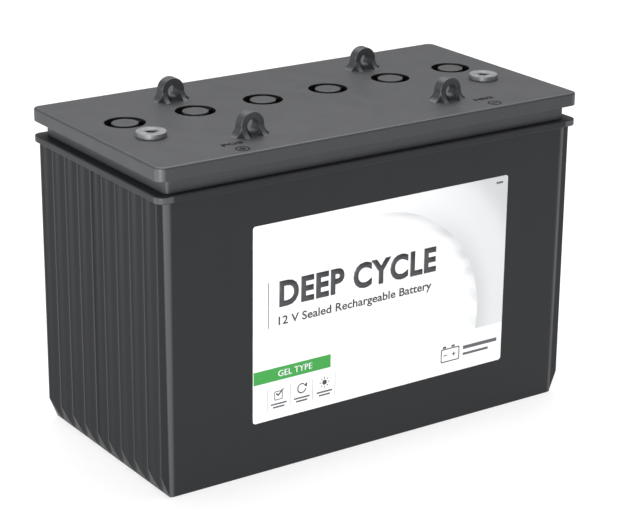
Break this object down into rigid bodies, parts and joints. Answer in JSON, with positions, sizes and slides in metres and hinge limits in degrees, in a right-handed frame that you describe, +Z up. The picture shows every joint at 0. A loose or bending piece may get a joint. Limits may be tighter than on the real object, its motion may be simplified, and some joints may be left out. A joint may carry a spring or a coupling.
{
  "type": "deep cycle battery",
  "caption": "Sealed deep cycle battery with ribbed ends, a set-back lid neck, flush valve plugs, threaded button terminals and moulded rope lugs.",
  "frame": {"origin": "centre of the rectangular base, on the surface that the battery stands on", "axes": "+X along the long side, towards the negative terminal's end; +Y to the back, away from the label; +Z up"},
  "size_m": [0.33, 0.167, 0.2369],
  "materials": {
    "case_plastic": "moulded polypropylene, satin charcoal",
    "lid_plastic": "moulded polypropylene, satin charcoal",
    "label_film": "smooth coated film",
    "plug_plastic": "moulded, dark",
    "cover_plastic": "moulded, satin charcoal",
    "valve_rubber": "soft matte",
    "seal_rubber": "soft matte",
    "terminal_metal": "bright plated, turned face",
    "cast_lead": "dull cast lead",
    "resin": "glossy potting resin",
    "positive_paste": "porous dark brown",
    "negative_paste": "porous grey",
    "separator_sheet": "pale porous sheet",
    "gel": "cloudy set gel"
  },
  "bodies": {
    "battery": {"case": "case_plastic", "front_label": "label_film", "gel_electrolyte_1": "gel", "gel_electrolyte_2": "gel", "gel_electrolyte_3": "gel", "gel_electrolyte_4": "gel", "gel_electrolyte_5": "gel", "gel_electrolyte_6": "gel", "intercell_welds": "cast_lead", "lid": "lid_plastic", "negative_plates_1": "negative_paste", "negative_plates_2": "negative_paste", "negative_plates_3": "negative_paste", "negative_plates_4": "negative_paste", "negative_plates_5": "negative_paste", "negative_plates_6": "negative_paste", "negative_post": "cast_lead", "negative_straps": "cast_lead", "negative_terminal": "terminal_metal", "positive_plates_1": "positive_paste", "positive_plates_2": "positive_paste", "positive_plates_3": "positive_paste", "positive_plates_4": "positive_paste", "positive_plates_5": "positive_paste", "positive_plates_6": "positive_paste", "positive_post": "cast_lead", "positive_straps": "cast_lead", "positive_terminal": "terminal_metal", "separators_1": "separator_sheet", "separators_2": "separator_sheet", "separators_3": "separator_sheet", "separators_4": "separator_sheet", "separators_5": "separator_sheet", "separators_6": "separator_sheet", "terminal_resin": "resin", "terminal_seals": "seal_rubber", "valve_sealing_rings": "seal_rubber"},
    "plug_1": {"valve_plug_1": "plug_plastic", "valve_cover_1": "cover_plastic"},
    "relief_cap_1": {"relief_valve_1": "valve_rubber"},
    "plug_2": {"valve_plug_2": "plug_plastic", "valve_cover_2": "cover_plastic"},
    "relief_cap_2": {"relief_valve_2": "valve_rubber"},
    "plug_3": {"valve_plug_3": "plug_plastic", "valve_cover_3": "cover_plastic"},
    "relief_cap_3": {"relief_valve_3": "valve_rubber"},
    "plug_4": {"valve_plug_4": "plug_plastic", "valve_cover_4": "cover_plastic"},
    "relief_cap_4": {"relief_valve_4": "valve_rubber"},
    "plug_5": {"valve_plug_5": "plug_plastic", "valve_cover_5": "cover_plastic"},
    "relief_cap_5": {"relief_valve_5": "valve_rubber"},
    "plug_6": {"valve_plug_6": "plug_plastic", "valve_cover_6": "cover_plastic"},
    "relief_cap_6": {"relief_valve_6": "valve_rubber"}
  },
  "joints": [
    {"name": "plug_turn_1", "type": "hinge", "parent": "battery", "child": "plug_1", "pos_m": [-0.13175, 0.0165, 0.2145], "axis": [0, 0, 1], "range_deg": [0, 90]},
    {"name": "plug_turn_2", "type": "hinge", "parent": "battery", "child": "plug_2", "pos_m": [-0.07905, 0.0165, 0.2145], "axis": [0, 0, 1], "range_deg": [0, 90]},
    {"name": "plug_turn_3", "type": "hinge", "parent": "battery", "child": "plug_3", "pos_m": [-0.02635, 0.0165, 0.2145], "axis": [0, 0, 1], "range_deg": [0, 90]},
    {"name": "plug_turn_4", "type": "hinge", "parent": "battery", "child": "plug_4", "pos_m": [0.02635, 0.0165, 0.2145], "axis": [0, 0, 1], "range_deg": [0, 90]},
    {"name": "plug_turn_5", "type": "hinge", "parent": "battery", "child": "plug_5", "pos_m": [0.07905, 0.0165, 0.2145], "axis": [0, 0, 1], "range_deg": [0, 90]},
    {"name": "plug_turn_6", "type": "hinge", "parent": "battery", "child": "plug_6", "pos_m": [0.13175, 0.0165, 0.2145], "axis": [0, 0, 1], "range_deg": [0, 90]},
    {"name": "relief_lift_1", "type": "slide", "parent": "plug_1", "child": "relief_cap_1", "axis": [0, 0, 1], "range_m": [0, 0.001], "stiffness_N_per_m": 800, "springref_m": -0.001},
    {"name": "relief_lift_2", "type": "slide", "parent": "plug_2", "child": "relief_cap_2", "axis": [0, 0, 1], "range_m": [0, 0.001], "stiffness_N_per_m": 800, "springref_m": -0.001},
    {"name": "relief_lift_3", "type": "slide", "parent": "plug_3", "child": "relief_cap_3", "axis": [0, 0, 1], "range_m": [0, 0.001], "stiffness_N_per_m": 800, "springref_m": -0.001},
    {"name": "relief_lift_4", "type": "slide", "parent": "plug_4", "child": "relief_cap_4", "axis": [0, 0, 1], "range_m": [0, 0.001], "stiffness_N_per_m": 800, "springref_m": -0.001},
    {"name": "relief_lift_5", "type": "slide", "parent": "plug_5", "child": "relief_cap_5", "axis": [0, 0, 1], "range_m": [0, 0.001], "stiffness_N_per_m": 800, "springref_m": -0.001},
    {"name": "relief_lift_6", "type": "slide", "parent": "plug_6", "child": "relief_cap_6", "axis": [0, 0, 1], "range_m": [0, 0.001], "stiffness_N_per_m": 800, "springref_m": -0.001}
  ]
}
